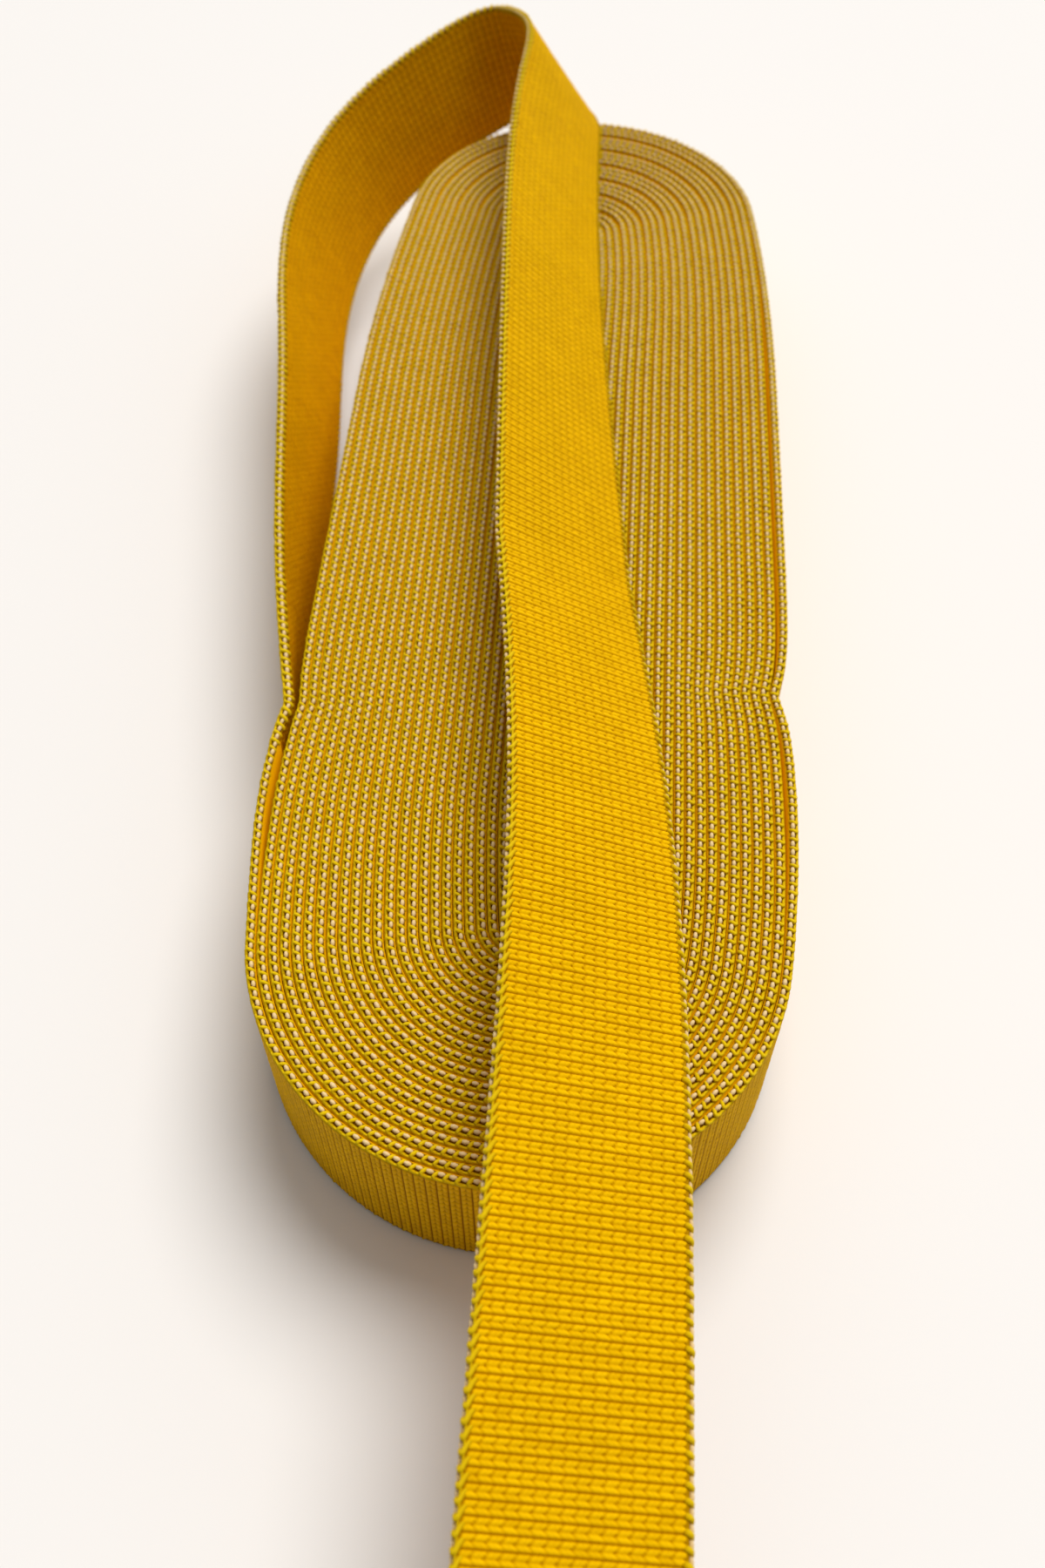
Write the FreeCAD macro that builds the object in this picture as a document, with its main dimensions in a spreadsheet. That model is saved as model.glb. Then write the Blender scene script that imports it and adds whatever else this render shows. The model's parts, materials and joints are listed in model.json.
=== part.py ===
# Martial arts belt: yellow double-faced belting, 40 mm wide, wound edge-up into a long flat coil.
# The outermost lap peels off at the coil's left waist, runs back, bends over behind the coil and
# comes forward across the top as a free tail.
#
# Frame: +Z up, +Y towards the coil's back end, origin on the rest plane at the middle of the coil.
# Everywhere along its length the belting is the same five woven pieces: an outer face and an inner
# face, a cream filling core between them, and a selvedge cord along each edge.

import FreeCAD
import Part
import Sketcher
import math
import os

Vector = FreeCAD.Vector

doc = FreeCAD.newDocument("martial_arts_belt")
sheet = doc.addObject("Spreadsheet::Sheet", "Spreadsheet")

# Driving dimensions, in millimetres and degrees.
DIMENSIONS = {
    "belt_width": 40.0,
    "selvedge_width": 1.2,
    "face_thickness": 0.55,
    "core_thickness": 0.5,
    "ply_gap": 0.25,
    "lap_count": 23,
    "left_pitch": 2.5,
    "right_pitch": 2.57,
    "left_first_lap": 59.8,
    "left_outer_lap": 63.4,
    "right_first_lap": 56.9,
    "right_outer_lap": 60.2,
    "front_arc_radius": 58.6,
    "front_arc_pitch": 2.52,
    "front_arc_x": -0.9,
    "front_arc_y": -132.5,
    "back_arc_radius": 54.8,
    "back_arc_pitch": 2.42,
    "back_arc_x": 0.85,
    "back_arc_y": 135.3,
    "back_group_laps": 3,
    "back_group_gap": 1.5,
    "shoulder_angle": 7.0,
    "front_shoulder_y": -92.0,
    "back_shoulder_y": 48.0,
    "left_lap_spread": 0.5,
    "left_waist_y": -73.0,
    "right_waist_y": -63.0,
    "waist_reach": 9.0,
    "waist_rounding": 1.5,
    "left_outer_dent": 2.1,
    "left_first_dent": 1.4,
    "left_dent_fade": 0.2,
    "right_outer_dent": 3.4,
    "right_first_dent": 2.5,
    "right_dent_fade": 0.26,
    "inner_end_x": 0.0,
    "inner_end_y": 60.0,
    "hinge_gap": 0.8,
    "turn_setback": 14.0,
    "front_bend_offset": 9.0,
}
for row, (alias, value) in enumerate(DIMENSIONS.items(), start=1):
    sheet.set("A%d" % row, alias)
    sheet.set("B%d" % row, str(value))
    sheet.setAlias("B%d" % row, alias)
doc.recompute()


def dim(alias):
    """A driving dimension, read back from the sheet."""
    return float(getattr(sheet, alias))


HALF_WIDTH = dim("belt_width") / 2
HALF_CORE = dim("core_thickness") / 2
FACE_NEAR = HALF_CORE + dim("ply_gap")
FACE_FAR = FACE_NEAR + dim("face_thickness")
FACE_HALF_WIDTH = HALF_WIDTH - dim("selvedge_width") - dim("ply_gap")
EDGE_HALF_WIDTH = HALF_WIDTH - dim("selvedge_width")

# Each woven piece of the belting: how far its two sides stand from the middle of the thickness
# (outer face positive), and how far its two borders stand from the middle of the width.
PLIES = {
    "outer_face": (FACE_NEAR, FACE_FAR, -FACE_HALF_WIDTH, FACE_HALF_WIDTH),
    "core": (-HALF_CORE, HALF_CORE, -FACE_HALF_WIDTH, FACE_HALF_WIDTH),
    "inner_face": (-FACE_FAR, -FACE_NEAR, -FACE_HALF_WIDTH, FACE_HALF_WIDTH),
    "upper_selvedge": (-FACE_FAR, FACE_FAR, EDGE_HALF_WIDTH, HALF_WIDTH),
    "lower_selvedge": (-FACE_FAR, FACE_FAR, -HALF_WIDTH, -EDGE_HALF_WIDTH),
}

# Sheet formulas for the thickness and width of each piece.
FACE_SPAN = "Spreadsheet.belt_width - 2 * Spreadsheet.selvedge_width - 2 * Spreadsheet.ply_gap"
FULL_THICKNESS = "2 * Spreadsheet.face_thickness + 2 * Spreadsheet.ply_gap + Spreadsheet.core_thickness"
PLY_SIZES = {
    "outer_face": ("Spreadsheet.face_thickness", FACE_SPAN),
    "core": ("Spreadsheet.core_thickness", FACE_SPAN),
    "inner_face": ("Spreadsheet.face_thickness", FACE_SPAN),
    "upper_selvedge": (FULL_THICKNESS, "Spreadsheet.selvedge_width"),
    "lower_selvedge": (FULL_THICKNESS, "Spreadsheet.selvedge_width"),
}

nodes = []


def keep(obj, name):
    """Label a finished sub-part and list it for export."""
    obj.Label = name
    nodes.append(obj)


# ---------------------------------------------------------------- the coil

SHOULDER = math.radians(dim("shoulder_angle"))
# Distances from the waist fold at which a side gets a spline point, and the spacing elsewhere.
WAIST_STEPS = (0.0, 1.5, 3.0, 5.0, 8.0, 12.0, 17.0)
STRAND_STEP = 16.0
SLOPE_STEP = 0.1


def ease(t, end, slope):
    """Cubic from 0 with no slope at t=0 to the value end with the given slope at t=1."""
    return (3 * end - slope) * t * t + (slope - 2 * end) * t ** 3


def waist_dent(y, waist_y, depth):
    """How far a side is pinched inwards at y by the waist fold."""
    rounding = dim("waist_rounding")
    away = math.hypot(y - waist_y, rounding) - rounding
    return depth * math.exp(-away / dim("waist_reach"))


def side_stations(back, front, waist_y):
    """Y values from the back to the front of one long side, closer together around the waist."""
    near = [waist_y + sign * step for step in WAIST_STEPS for sign in (-1, 1)]
    count = math.ceil((back - front) / STRAND_STEP)
    far = [back + (front - back) * i / count for i in range(1, count)]
    far = [y for y in far if abs(y - waist_y) > WAIST_STEPS[-1] + STRAND_STEP / 3]
    inside = [y for y in near if front + 1 < y < back - 1]
    return sorted(set(inside + far + [back, front]), reverse=True)


class Side:
    """One long side of one lap: x (measured outwards from the middle) as a function of y."""

    def __init__(self, sign, back, middle, front, waist_y, depth):
        self.sign = sign
        self.back = back
        self.middle = middle
        self.front = front
        self.waist_y = waist_y
        self.depth = depth

    def x(self, y):
        back_x, back_y = self.back
        front_x, front_y = self.front
        back_shoulder = dim("back_shoulder_y")
        front_shoulder = dim("front_shoulder_y")
        near_back, near_front = self.middle
        if y > back_shoulder:
            run = back_y - back_shoulder
            out = near_back + ease((y - back_shoulder) / run, back_x - near_back,
                                   -math.tan(SHOULDER) * run)
        elif y < front_shoulder:
            run = front_shoulder - front_y
            out = near_front + ease((front_shoulder - y) / run, front_x - near_front,
                                    -math.tan(SHOULDER) * run)
        else:
            share = (back_shoulder - y) / (back_shoulder - front_shoulder)
            out = near_back + (near_front - near_back) * share
        return self.sign * (out - waist_dent(y, self.waist_y, self.depth))

    def offset_point(self, y, offset):
        """A point on this side, moved outwards by offset along the belting's normal."""
        slope = (self.x(y + SLOPE_STEP / 2) - self.x(y - SLOPE_STEP / 2)) / SLOPE_STEP
        scale = self.sign / math.hypot(1, slope)
        return Vector(self.x(y) + offset * scale, y - offset * slope * scale, 0)


def arc_radius(end, lap):
    return dim(end + "_arc_radius") - dim(end + "_arc_pitch") * lap


def arc_centre(end, lap):
    """Centre of a lap's end arc; at the back the laps sit in loose groups with a gap between."""
    y = dim(end + "_arc_y")
    if end == "back":
        y -= dim("back_group_gap") * (lap // int(dim("back_group_laps")))
    return Vector(dim(end + "_arc_x"), y, 0)


def arc_end(end, lap, sign):
    """Where a lap's end arc meets its left (-1) or right (+1) side, as (distance out, y)."""
    centre = arc_centre(end, lap)
    radius = arc_radius(end, lap)
    way = 1 if end == "back" else -1
    out = radius * math.cos(SHOULDER) + sign * centre.x
    return out, centre.y + way * radius * math.sin(SHOULDER)


def dent_depth(side, lap):
    """How deep the waist fold is pressed into a lap on the left or the right side."""
    if lap == 0:
        return dim(side + "_outer_dent")
    return max(0.0, dim(side + "_first_dent") - dim(side + "_dent_fade") * (lap - 1))


def right_side(lap):
    """The right side of a lap; on the last lap the belting's inner end lies loose in the eye."""
    if lap == int(dim("lap_count")) - 1:
        middle = dim("inner_end_x")
        back = (middle, dim("back_arc_y"))
        depth = 0.0
    else:
        first = dim("right_first_lap") - dim("right_pitch") * (lap - 1)
        middle = dim("right_outer_lap") if lap == 0 else first
        back = arc_end("back", lap, 1)
        depth = dent_depth("right", lap)
    return Side(1, back, (middle, middle), arc_end("front", lap, 1), dim("right_waist_y"), depth)


def left_side(lap):
    """The left side of a lap; lap 0 starts at the waist, where the belting peels away."""
    if lap == 0:
        middle = (dim("left_outer_lap"), dim("left_outer_lap"))
        back = (dim("left_outer_lap"), dim("back_arc_y"))
    else:
        near_back = dim("left_first_lap") - dim("left_pitch") * (lap - 1)
        middle = (near_back, near_back - dim("left_lap_spread"))
        back = arc_end("back", lap - 1, -1)
    depth = dent_depth("left", lap)
    return Side(-1, back, middle, arc_end("front", lap, -1), dim("left_waist_y"), depth)


def side_points(side, back, front, offset):
    """Spline points along one side from back to front, at an offset from its middle."""
    return [side.offset_point(y, offset) for y in side_stations(back, front, side.waist_y)]


def arc_points(end, lap, offset, start, stop):
    """Start, middle and end of a lap's end arc at an offset from the middle of the belting."""
    centre = arc_centre(end, lap)
    radius = arc_radius(end, lap) + offset
    angles = (start, (start + stop) / 2, stop)
    return [centre + Vector(math.cos(a), math.sin(a), 0) * radius for a in angles]


def coil_runs(offset):
    """The whole spiral at an offset, as runs of points: ('arc', 3 points) or ('side', points)."""
    laps = int(dim("lap_count"))
    runs = []
    for lap in range(laps):
        left = left_side(lap)
        right = right_side(lap)
        left_back = dim("left_waist_y") - dim("hinge_gap") if lap == 0 else left.back[1]
        runs.append(("side", side_points(left, left_back, left.front[1], offset)))
        runs.append(("arc", arc_points("front", lap, offset, math.pi + SHOULDER, 2 * math.pi - SHOULDER)))
        last = lap == laps - 1
        right_back = dim("inner_end_y") if last else right.back[1]
        runs.append(("side", side_points(right, right_back, right.front[1], offset)[::-1]))
        if not last:
            runs.append(("arc", arc_points("back", lap, offset, SHOULDER, math.pi - SHOULDER)))
    return runs


def spiral_edges(offset):
    """Edges of the spiral at an offset, each starting exactly where the last one ended."""
    edges = []
    here = None
    for kind, points in coil_runs(offset):
        if here is not None:
            points = [here] + points[1:]
        here = points[-1]
        if kind == "arc":
            edges.append(Part.Arc(*points).toShape())
        else:
            curve = Part.BSplineCurve()
            curve.interpolate(points)
            edges.append(curve.toShape())
    return edges


def spiral_outline(near, far):
    """Closed outline of one woven piece of the coil, seen from above."""
    inside = spiral_edges(near)
    outside = spiral_edges(far)
    start = Part.makeLine(inside[0].firstVertex().Point, outside[0].firstVertex().Point)
    end = Part.makeLine(inside[-1].lastVertex().Point, outside[-1].lastVertex().Point)
    return Part.Wire(Part.sortEdges(inside + outside + [start, end])[0])


def build_coil():
    """Five spiral pieces: each outline is extruded across its share of the belt's width."""
    for ply, (near, far, low, high) in PLIES.items():
        outline = doc.addObject("Part::Feature", "coil_" + ply + "_outline")
        outline.Shape = spiral_outline(near, far)
        solid = doc.addObject("Part::Extrusion", "coil_" + ply)
        solid.Base = outline
        solid.DirMode = "Custom"
        solid.Dir = Vector(0, 0, 1)
        solid.Solid = True
        solid.setExpression("LengthFwd", PLY_SIZES[ply][1])
        solid.Placement = FreeCAD.Placement(Vector(0, 0, HALF_WIDTH + low), FreeCAD.Rotation())
        keep(solid, "coil_" + ply)


# ---------------------------------------------------------------- the peeled lap and the tail

# Stations along the middle of the free belting: x, y, z and the lean of its width from upright
# towards -X. The first row is the waist, where it leaves the coil.
LOOP_STATIONS = (
    (-61.5, -73.0, 20.0, 0.0),
    (-68.5, -31.0, 22.0, 6.0),
    (-77.5, 55.0, 28.0, 18.0),
    (-83.0, 118.0, 32.5, 23.0),
    (-73.0, 161.0, 38.5, 23.5),
    (-46.0, 194.0, 47.5, 26.0),
    (-26.0, 205.5, 52.6, 29.0),
    (-11.0, 192.5, 57.8, 34.0),
    (-8.0, 168.0, 58.6, 39.5),
    (-5.5, 79.0, 56.0, 47.0),
    (3.5, -34.5, 53.5, 58.0),
)
TAIL_STATIONS = (
    (3.5, -34.5, 53.5, 58.0),
    (12.5, -102.0, 56.0, 64.0),
    (16.3, -193.0, 56.5, 75.5),
    (16.5, -290.0, 48.0, 82.0),
)


def solve_spline(knots, values):
    """Second derivatives of the natural cubic spline through the values at the knots."""
    count = len(knots)
    steps = [b - a for a, b in zip(knots, knots[1:])]
    diagonal = [1.0] * count
    right = [0.0] * count
    upper = [0.0] * count
    for i in range(1, count - 1):
        rise_after = (values[i + 1] - values[i]) / steps[i]
        rise_before = (values[i] - values[i - 1]) / steps[i - 1]
        lower = steps[i - 1]
        factor = lower / diagonal[i - 1]
        diagonal[i] = 2 * (steps[i - 1] + steps[i]) - factor * upper[i - 1]
        upper[i] = steps[i]
        right[i] = 6 * (rise_after - rise_before) - factor * right[i - 1]
    bends = [0.0] * count
    for i in range(count - 2, 0, -1):
        bends[i] = (right[i] - upper[i] * bends[i + 1]) / diagonal[i]
    return bends


RUN_STEP = 0.5


class Strap:
    """A stretch of free belting: smooth middle line and lean through its stations."""

    def __init__(self, stations):
        self.columns = list(zip(*stations))
        self.knots = [0.0]
        for a, b in zip(stations, stations[1:]):
            self.knots.append(self.knots[-1] + math.dist(a[:3], b[:3]))
        self.bends = [solve_spline(self.knots, column) for column in self.columns]
        self.length = self.knots[-1]

    def values(self, along):
        """Interpolated x, y, z and lean at a distance along the strap."""
        i = 0
        while i < len(self.knots) - 2 and along > self.knots[i + 1]:
            i += 1
        span = self.knots[i + 1] - self.knots[i]
        b = (along - self.knots[i]) / span
        a = 1 - b
        curve = span * span / 6
        return [a * column[i] + b * column[i + 1]
                + ((a ** 3 - a) * bends[i] + (b ** 3 - b) * bends[i + 1]) * curve
                for column, bends in zip(self.columns, self.bends)]

    def frame(self, along):
        """Middle point, outward normal, width direction and running direction."""
        x, y, z, lean = self.values(along)
        ahead = Vector(*self.values(along + RUN_STEP)[:3])
        behind = Vector(*self.values(along - RUN_STEP)[:3])
        run = (ahead - behind).normalize()
        angle = math.radians(lean)
        upright = Vector(-math.sin(angle), 0, math.cos(angle))
        width = (upright - run * upright.dot(run)).normalize()
        return Vector(x, y, z), width.cross(run), width, run


def strap_placement(frame):
    """Placement whose local X is the outward normal, Y the width and Z the running direction."""
    middle, normal, width, run = frame
    turn = FreeCAD.Matrix(normal.x, width.x, run.x, 0,
                          normal.y, width.y, run.y, 0,
                          normal.z, width.z, run.z, 0,
                          0, 0, 0, 1)
    return FreeCAD.Placement(middle, FreeCAD.Rotation(turn))


SECTION_STEP = 17.0
LOOP = Strap(LOOP_STATIONS)
TAIL = Strap(TAIL_STATIONS)


def build_curved_segment(name, strap, start, stop):
    """Five lofts through rectangular sections that follow the strap as it bends and twists."""
    first = start + dim("hinge_gap")
    last = stop - dim("hinge_gap")
    steps = max(3, math.ceil((last - first) / SECTION_STEP))
    stations = [first + (last - first) * i / steps for i in range(steps + 1)]
    for ply, (near, far, low, high) in PLIES.items():
        thickness, width = PLY_SIZES[ply]
        sections = []
        for along in stations:
            section = doc.addObject("Part::Plane", name + "_" + ply + "_section")
            section.setExpression("Length", thickness)
            section.setExpression("Width", width)
            corner = FreeCAD.Placement(Vector(near, low, 0), FreeCAD.Rotation())
            section.Placement = strap_placement(strap.frame(along)).multiply(corner)
            sections.append(section)
        loft = doc.addObject("Part::Loft", name + "_" + ply)
        loft.Sections = sections
        loft.Solid = True
        loft.Ruled = False
        keep(loft, name + "_" + ply)


def rectangle_sketch(body, name, width, height):
    """Centred rectangle on the body's XY plane, its two sizes bound to sheet formulas."""
    sketch = body.newObject("Sketcher::SketchObject", name)
    plane = [f for f in body.Origin.OriginFeatures if f.Role == "XY_Plane"][0]
    sketch.AttachmentSupport = [(plane, "")]
    sketch.MapMode = "FlatFace"
    corners = [Vector(-1, -1, 0), Vector(1, -1, 0), Vector(1, 1, 0), Vector(-1, 1, 0)]
    for a, b in zip(corners, corners[1:] + corners[:1]):
        sketch.addGeometry(Part.LineSegment(a, b), False)
    for i in range(4):
        sketch.addConstraint(Sketcher.Constraint("Coincident", i, 2, (i + 1) % 4, 1))
    for i in (0, 2):
        sketch.addConstraint(Sketcher.Constraint("Horizontal", i))
    for i in (1, 3):
        sketch.addConstraint(Sketcher.Constraint("Vertical", i))
    sketch.addConstraint(Sketcher.Constraint("Symmetric", 0, 1, 1, 2, -1, 1))
    across = sketch.addConstraint(Sketcher.Constraint("DistanceX", 0, 1, 0, 2, 2.0))
    up = sketch.addConstraint(Sketcher.Constraint("DistanceY", 1, 1, 1, 2, 2.0))
    sketch.setExpression("Constraints[%d]" % across, width)
    sketch.setExpression("Constraints[%d]" % up, height)
    return sketch


def build_flat_segment(name, strap, start, stop):
    """Five straight padded bodies for a stretch of strap that hangs flat."""
    first = start + dim("hinge_gap")
    frame = strap_placement(strap.frame((first + stop) / 2))
    for ply, (near, far, low, high) in PLIES.items():
        thickness, width = PLY_SIZES[ply]
        body = doc.addObject("PartDesign::Body", name + "_" + ply)
        sketch = rectangle_sketch(body, name + "_" + ply + "_section", thickness, width)
        pad = body.newObject("PartDesign::Pad", name + "_" + ply + "_pad")
        pad.Profile = sketch
        pad.Length = stop - first
        pad.Midplane = True
        offset = FreeCAD.Placement(Vector((near + far) / 2, (low + high) / 2, 0), FreeCAD.Rotation())
        body.Placement = frame.multiply(offset)
        keep(body, name + "_" + ply)


def build_free_belting():
    """The peeled lap and the tail, parted where the belting visibly bends."""
    side_end = LOOP.knots[2]
    turn_end = LOOP.knots[5] - dim("turn_setback")
    bend = (LOOP.knots[6] + LOOP.knots[7]) / 2
    build_curved_segment("loop_side", LOOP, 0.0, side_end)
    build_curved_segment("loop_back", LOOP, side_end, turn_end)
    build_curved_segment("loop_crest", LOOP, turn_end, bend)
    build_curved_segment("tail_back", LOOP, bend, LOOP.length)
    front_bend = TAIL.knots[2] + dim("front_bend_offset")
    build_curved_segment("tail_middle", TAIL, 0.0, front_bend)
    build_flat_segment("tail_end", TAIL, front_bend, TAIL.length)
    hinges = (("peel", LOOP, 0.0), ("side", LOOP, side_end), ("turn", LOOP, turn_end),
              ("bend", LOOP, bend), ("crease", TAIL, 0.0), ("front", TAIL, front_bend))
    for name, strap, along in hinges:
        middle, normal, width, run = strap.frame(along)
        print("hinge", name, [round(c / 1000, 5) for c in middle], [round(c, 4) for c in width])


build_coil()
build_free_belting()
doc.recompute()

for obj in doc.Objects:
    bad = [word for word in obj.State if word in ("Invalid", "Error")]
    if bad:
        raise RuntimeError("%s is %s" % (obj.Name, bad))
for obj in nodes:
    if obj.Shape.isNull() or not obj.Shape.isValid() or len(obj.Shape.Solids) != 1:
        raise RuntimeError("%s has a bad shape" % obj.Label)

os.makedirs("parts", exist_ok=True)
for obj in nodes:
    obj.Shape.exportStep(os.path.join("parts", obj.Label + ".step"))
print("wrote", len(nodes), "sub-parts")
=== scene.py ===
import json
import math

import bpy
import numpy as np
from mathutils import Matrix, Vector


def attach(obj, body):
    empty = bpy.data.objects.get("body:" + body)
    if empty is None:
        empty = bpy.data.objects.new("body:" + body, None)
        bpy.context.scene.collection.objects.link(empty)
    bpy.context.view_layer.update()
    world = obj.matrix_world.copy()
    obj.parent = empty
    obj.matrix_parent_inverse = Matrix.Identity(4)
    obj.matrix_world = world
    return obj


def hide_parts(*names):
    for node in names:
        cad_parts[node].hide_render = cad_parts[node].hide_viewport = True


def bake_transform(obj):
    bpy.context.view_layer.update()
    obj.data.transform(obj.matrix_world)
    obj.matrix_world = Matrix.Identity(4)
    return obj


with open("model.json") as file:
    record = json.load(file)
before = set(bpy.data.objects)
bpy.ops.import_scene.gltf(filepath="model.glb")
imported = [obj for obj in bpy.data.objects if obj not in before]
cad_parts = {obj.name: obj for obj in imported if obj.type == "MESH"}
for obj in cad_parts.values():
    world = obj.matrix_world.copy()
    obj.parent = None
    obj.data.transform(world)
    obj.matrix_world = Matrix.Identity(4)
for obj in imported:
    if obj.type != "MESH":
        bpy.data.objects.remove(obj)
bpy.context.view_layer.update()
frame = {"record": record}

# Martial arts belt: how the yellow double-faced belting looks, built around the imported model.
# One path runs through the middle of the belting, from its inner end in the eye of the coil,
# outwards through every lap, round the peeled lap and down the tail. Every woven piece is laid out
# along that path: s is the distance along it, w the place across the width, o the distance from the
# middle of the thickness (outer face positive). Lengths of the belting are in millimetres, and they are
# turned into metres where an object is made or joined to the frame.

# ------------------------------------------------------------------ dimensions, millimetres

METRES = 0.001              # metres in a millimetre
MILLIMETRES = 1000          # millimetres in a metre

HALF_WIDTH = 20.0
LAPS = 23

# The coil seen from above. Each lap has an arc at the front and at the back and two nearly straight
# sides. The arcs shrink by their pitch from lap to lap, and end where the sides lean in by SHOULDER.
SHOULDER = math.radians(7.0)
FRONT_SHOULDER_Y = -92.0
BACK_SHOULDER_Y = 48.0
ARCS = {
    "front": {"radius": 58.6, "pitch": 2.52, "x": -0.9, "y": -132.5},
    "back": {"radius": 54.8, "pitch": 2.42, "x": 0.85, "y": 135.3},
}
# At the back a slightly wider gap follows every third lap.
BACK_GROUP_LAPS = 3
BACK_GROUP_GAP = 1.5
# Distance from the middle line to the outermost lap and to the first lap inside it, and the pitch.
# In front, the inner laps of the left side stand nearer the middle line by LEFT_SPREAD.
LEFT_OUTER = 63.4
LEFT_FIRST = 59.8
LEFT_PITCH = 2.5
LEFT_SPREAD = 0.5
RIGHT_OUTER = 60.2
RIGHT_FIRST = 56.9
RIGHT_PITCH = 2.57
# The waist fold pressed into both sides: how far along the side it fades out, how round its bottom
# is, and how deep it is in each lap, shallower from lap to lap.
LEFT_WAIST_Y = -73.0
RIGHT_WAIST_Y = -63.0
WAIST_REACH = 9.0
WAIST_ROUNDING = 1.5
LEFT_DENTS = {"outer": 2.1, "first": 1.4, "fade": 0.2}
RIGHT_DENTS = {"outer": 3.4, "first": 2.5, "fade": 0.26}
INNER_END_X = 0.0
INNER_END_Y = 60.0

# Stations along the free belting: x, y, z and the lean of its width from upright towards -X.
LOOP_STATIONS = (
    (-61.5, -73.0, 20.0, 0.0),
    (-68.5, -31.0, 22.0, 6.0),
    (-77.5, 55.0, 28.0, 18.0),
    (-83.0, 118.0, 32.5, 23.0),
    (-73.0, 161.0, 38.5, 23.5),
    (-46.0, 194.0, 47.5, 26.0),
    (-26.0, 205.5, 52.6, 29.0),
    (-11.0, 192.5, 57.8, 34.0),
    (-8.0, 168.0, 58.6, 39.5),
    (-5.5, 79.0, 56.0, 47.0),
    (3.5, -34.5, 53.5, 58.0),
)
TAIL_STATIONS = (
    (3.5, -34.5, 53.5, 58.0),
    (12.5, -102.0, 56.0, 64.0),
    (16.3, -193.0, 56.5, 75.5),
    (16.5, -290.0, 48.0, 82.0),
)

PATH_STEP = 0.4             # distance between stored points of the path
ARC_POINTS = 24             # fewest points of an arc
SAME_PLACE = 1e-6           # points closer than this are one point
KINK_REACH = 6.0            # how far to each side a kink in the path is eased
KINK_SIGMA = 1.1            # how softly it is eased

PERIOD = 2.39               # one stitch along the belting: two ribs on the faces, one loop on each edge
CREST_PLACE = PERIOD / 4    # a crest of the ribs, from the start of a stitch
CREST = 1.14                # how far the crests stand from the middle of the thickness
RIB_HEIGHT = 0.38           # crest of a rib above the groove between two pairs of ribs
FACE_BACK = 0.32            # hidden side of a face
FACE_EDGE = 18.9            # border of a face, from the middle of the width
FACE_BEVEL = 0.5            # the ribs sink away over this distance from the border
PRESSED_SWELL = 0.03        # pressed between two laps, a face stands this far beyond the crests
END_RING = 0.01             # last ring of a bar this close to its end, so that its end stays crisp


# ------------------------------------------------------------------ the path

def ease(t, end, slope):
    """Cubic from 0 with no slope at t=0 to the value end with the given slope at t=1."""
    return (3 * end - slope) * t ** 2 + (slope - 2 * end) * t ** 3


def arc_centre(end, lap):
    """Centre of the front or back arc of a lap; lap 0 is the outermost."""
    y = ARCS[end]["y"]
    if end == "back":
        y -= BACK_GROUP_GAP * (lap // BACK_GROUP_LAPS)
    return ARCS[end]["x"], y


def arc_radius(end, lap):
    return ARCS[end]["radius"] - ARCS[end]["pitch"] * lap


def arc_end(end, lap, sign):
    """Where an end arc meets the left (-1) or right (+1) side, as (distance out, y)."""
    x, y = arc_centre(end, lap)
    radius = arc_radius(end, lap)
    way = 1 if end == "back" else -1
    return radius * math.cos(SHOULDER) + sign * x, y + way * radius * math.sin(SHOULDER)


def arc_points(end, lap, start, stop):
    """Points of an end arc from one angle to another."""
    x, y = arc_centre(end, lap)
    radius = arc_radius(end, lap)
    count = max(ARC_POINTS, int(radius * abs(stop - start) / PATH_STEP))
    angle = np.linspace(start, stop, count)
    return np.stack([x + radius * np.cos(angle), y + radius * np.sin(angle)], axis=1)


def side_points(sign, back, middle, front, waist_y, depth, start_y, stop_y):
    """The left (-1) or right (+1) side of a lap from start_y to stop_y, with its waist fold.

    Back and front are the ends of the arcs that it meets, and middle its distances out between them.
    """
    y = np.linspace(start_y, stop_y, int(abs(stop_y - start_y) / PATH_STEP) + 2)
    slope = -math.tan(SHOULDER)
    back_run = back[1] - BACK_SHOULDER_Y
    front_run = FRONT_SHOULDER_Y - front[1]
    along = np.clip((BACK_SHOULDER_Y - y) / (BACK_SHOULDER_Y - FRONT_SHOULDER_Y), 0, 1)
    out = middle[0] + (middle[1] - middle[0]) * along
    past_back = np.clip((y - BACK_SHOULDER_Y) / back_run, 0, None)
    past_front = np.clip((FRONT_SHOULDER_Y - y) / front_run, 0, None)
    out = out + ease(past_back, back[0] - middle[0], slope * back_run)
    out = out + ease(past_front, front[0] - middle[1], slope * front_run)
    away = np.hypot(y - waist_y, WAIST_ROUNDING) - WAIST_ROUNDING
    out = out - depth * np.exp(-away / WAIST_REACH)
    return np.stack([sign * out, y], axis=1)


def dent_depth(dents, lap):
    """How deep the waist fold is pressed into a lap."""
    if lap == 0:
        return dents["outer"]
    return max(0.0, dents["first"] - dents["fade"] * (lap - 1))


def right_side_points(lap):
    """Right side of a lap, walked from back to front."""
    front = arc_end("front", lap, 1)
    if lap == LAPS - 1:
        middle, back = INNER_END_X, (INNER_END_X, ARCS["back"]["y"])
        depth, start_y = 0.0, INNER_END_Y
    else:
        middle = RIGHT_OUTER if lap == 0 else RIGHT_FIRST - RIGHT_PITCH * (lap - 1)
        back = arc_end("back", lap, 1)
        depth, start_y = dent_depth(RIGHT_DENTS, lap), back[1]
    return side_points(1, back, (middle, middle), front, RIGHT_WAIST_Y, depth, start_y, front[1])


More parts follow.
